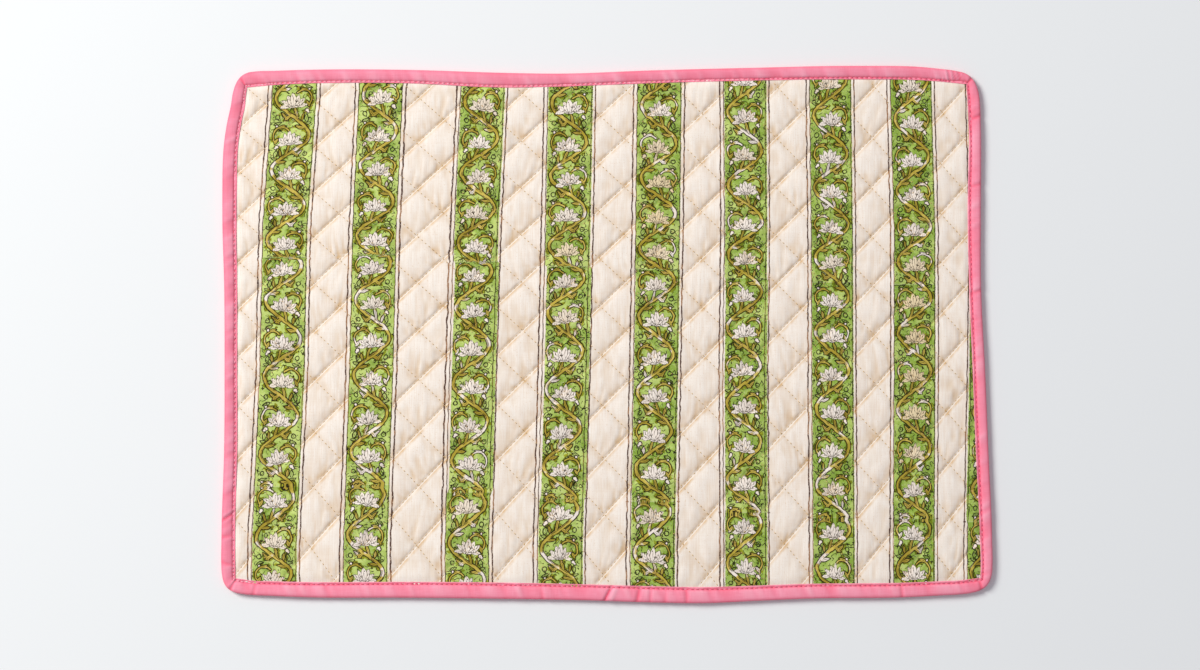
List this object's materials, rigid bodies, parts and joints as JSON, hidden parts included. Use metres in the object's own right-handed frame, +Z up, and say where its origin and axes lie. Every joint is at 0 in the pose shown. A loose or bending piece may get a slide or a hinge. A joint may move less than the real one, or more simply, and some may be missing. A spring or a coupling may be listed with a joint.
{
  "type": "fabric placemat",
  "caption": "Rectangular quilted cotton placemat with a block-printed top and a folded cotton binding, lying flat.",
  "frame": {"origin": "middle of the mat's bounding rectangle, on the surface the mat lies on", "axes": "+X along the long side, +Y towards the edge that is the top one when the mat is laid, +Z up out of the printed face"},
  "size_m": [0.486, 0.3386, 0.0045],
  "materials": {
    "printed_cotton": "matt cream cotton, block-printed with bright green stripes that carry olive vines and white flowers between thin dark brown lines, quilted in diamonds with tan thread",
    "pink_binding": "matt plain pink cotton, folded over the edge and topstitched in rose thread"
  },
  "bodies": {
    "root": {"quilted_panel": "printed_cotton", "edge_binding": "pink_binding"}
  },
  "joints": []
}
